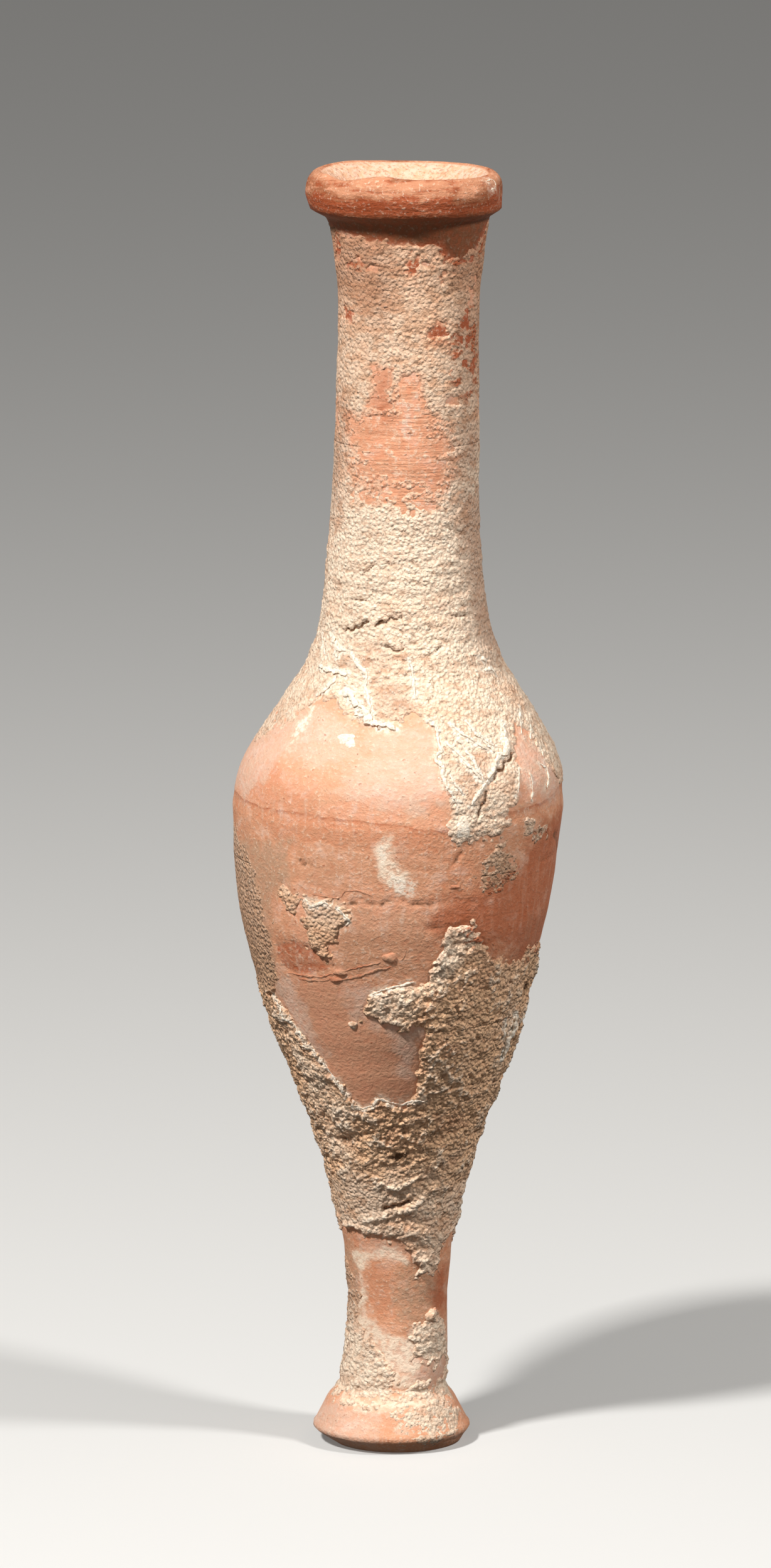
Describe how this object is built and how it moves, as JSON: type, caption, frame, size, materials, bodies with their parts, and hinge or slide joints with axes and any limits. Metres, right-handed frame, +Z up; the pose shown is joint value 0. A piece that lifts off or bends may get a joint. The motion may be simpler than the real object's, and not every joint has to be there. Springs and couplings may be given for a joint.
{
  "type": "spindle-shaped amphoriskos",
  "caption": "Slender hollow terracotta oil flask, spindle-shaped, with a long neck, thick flaring lip, tall stem and small flaring foot.",
  "frame": {"origin": "centre of the flat resting face under the foot", "axes": "+Z up along the vessel's height, -Y towards the pictured front, +X to its right"},
  "size_m": [0.0463, 0.0464, 0.1798],
  "materials": {
    "terracotta": "unglazed fired clay with remains of red slip, under a rough pale crust of lime and soil"
  },
  "bodies": {
    "root": {"vessel": "terracotta"}
  },
  "joints": []
}
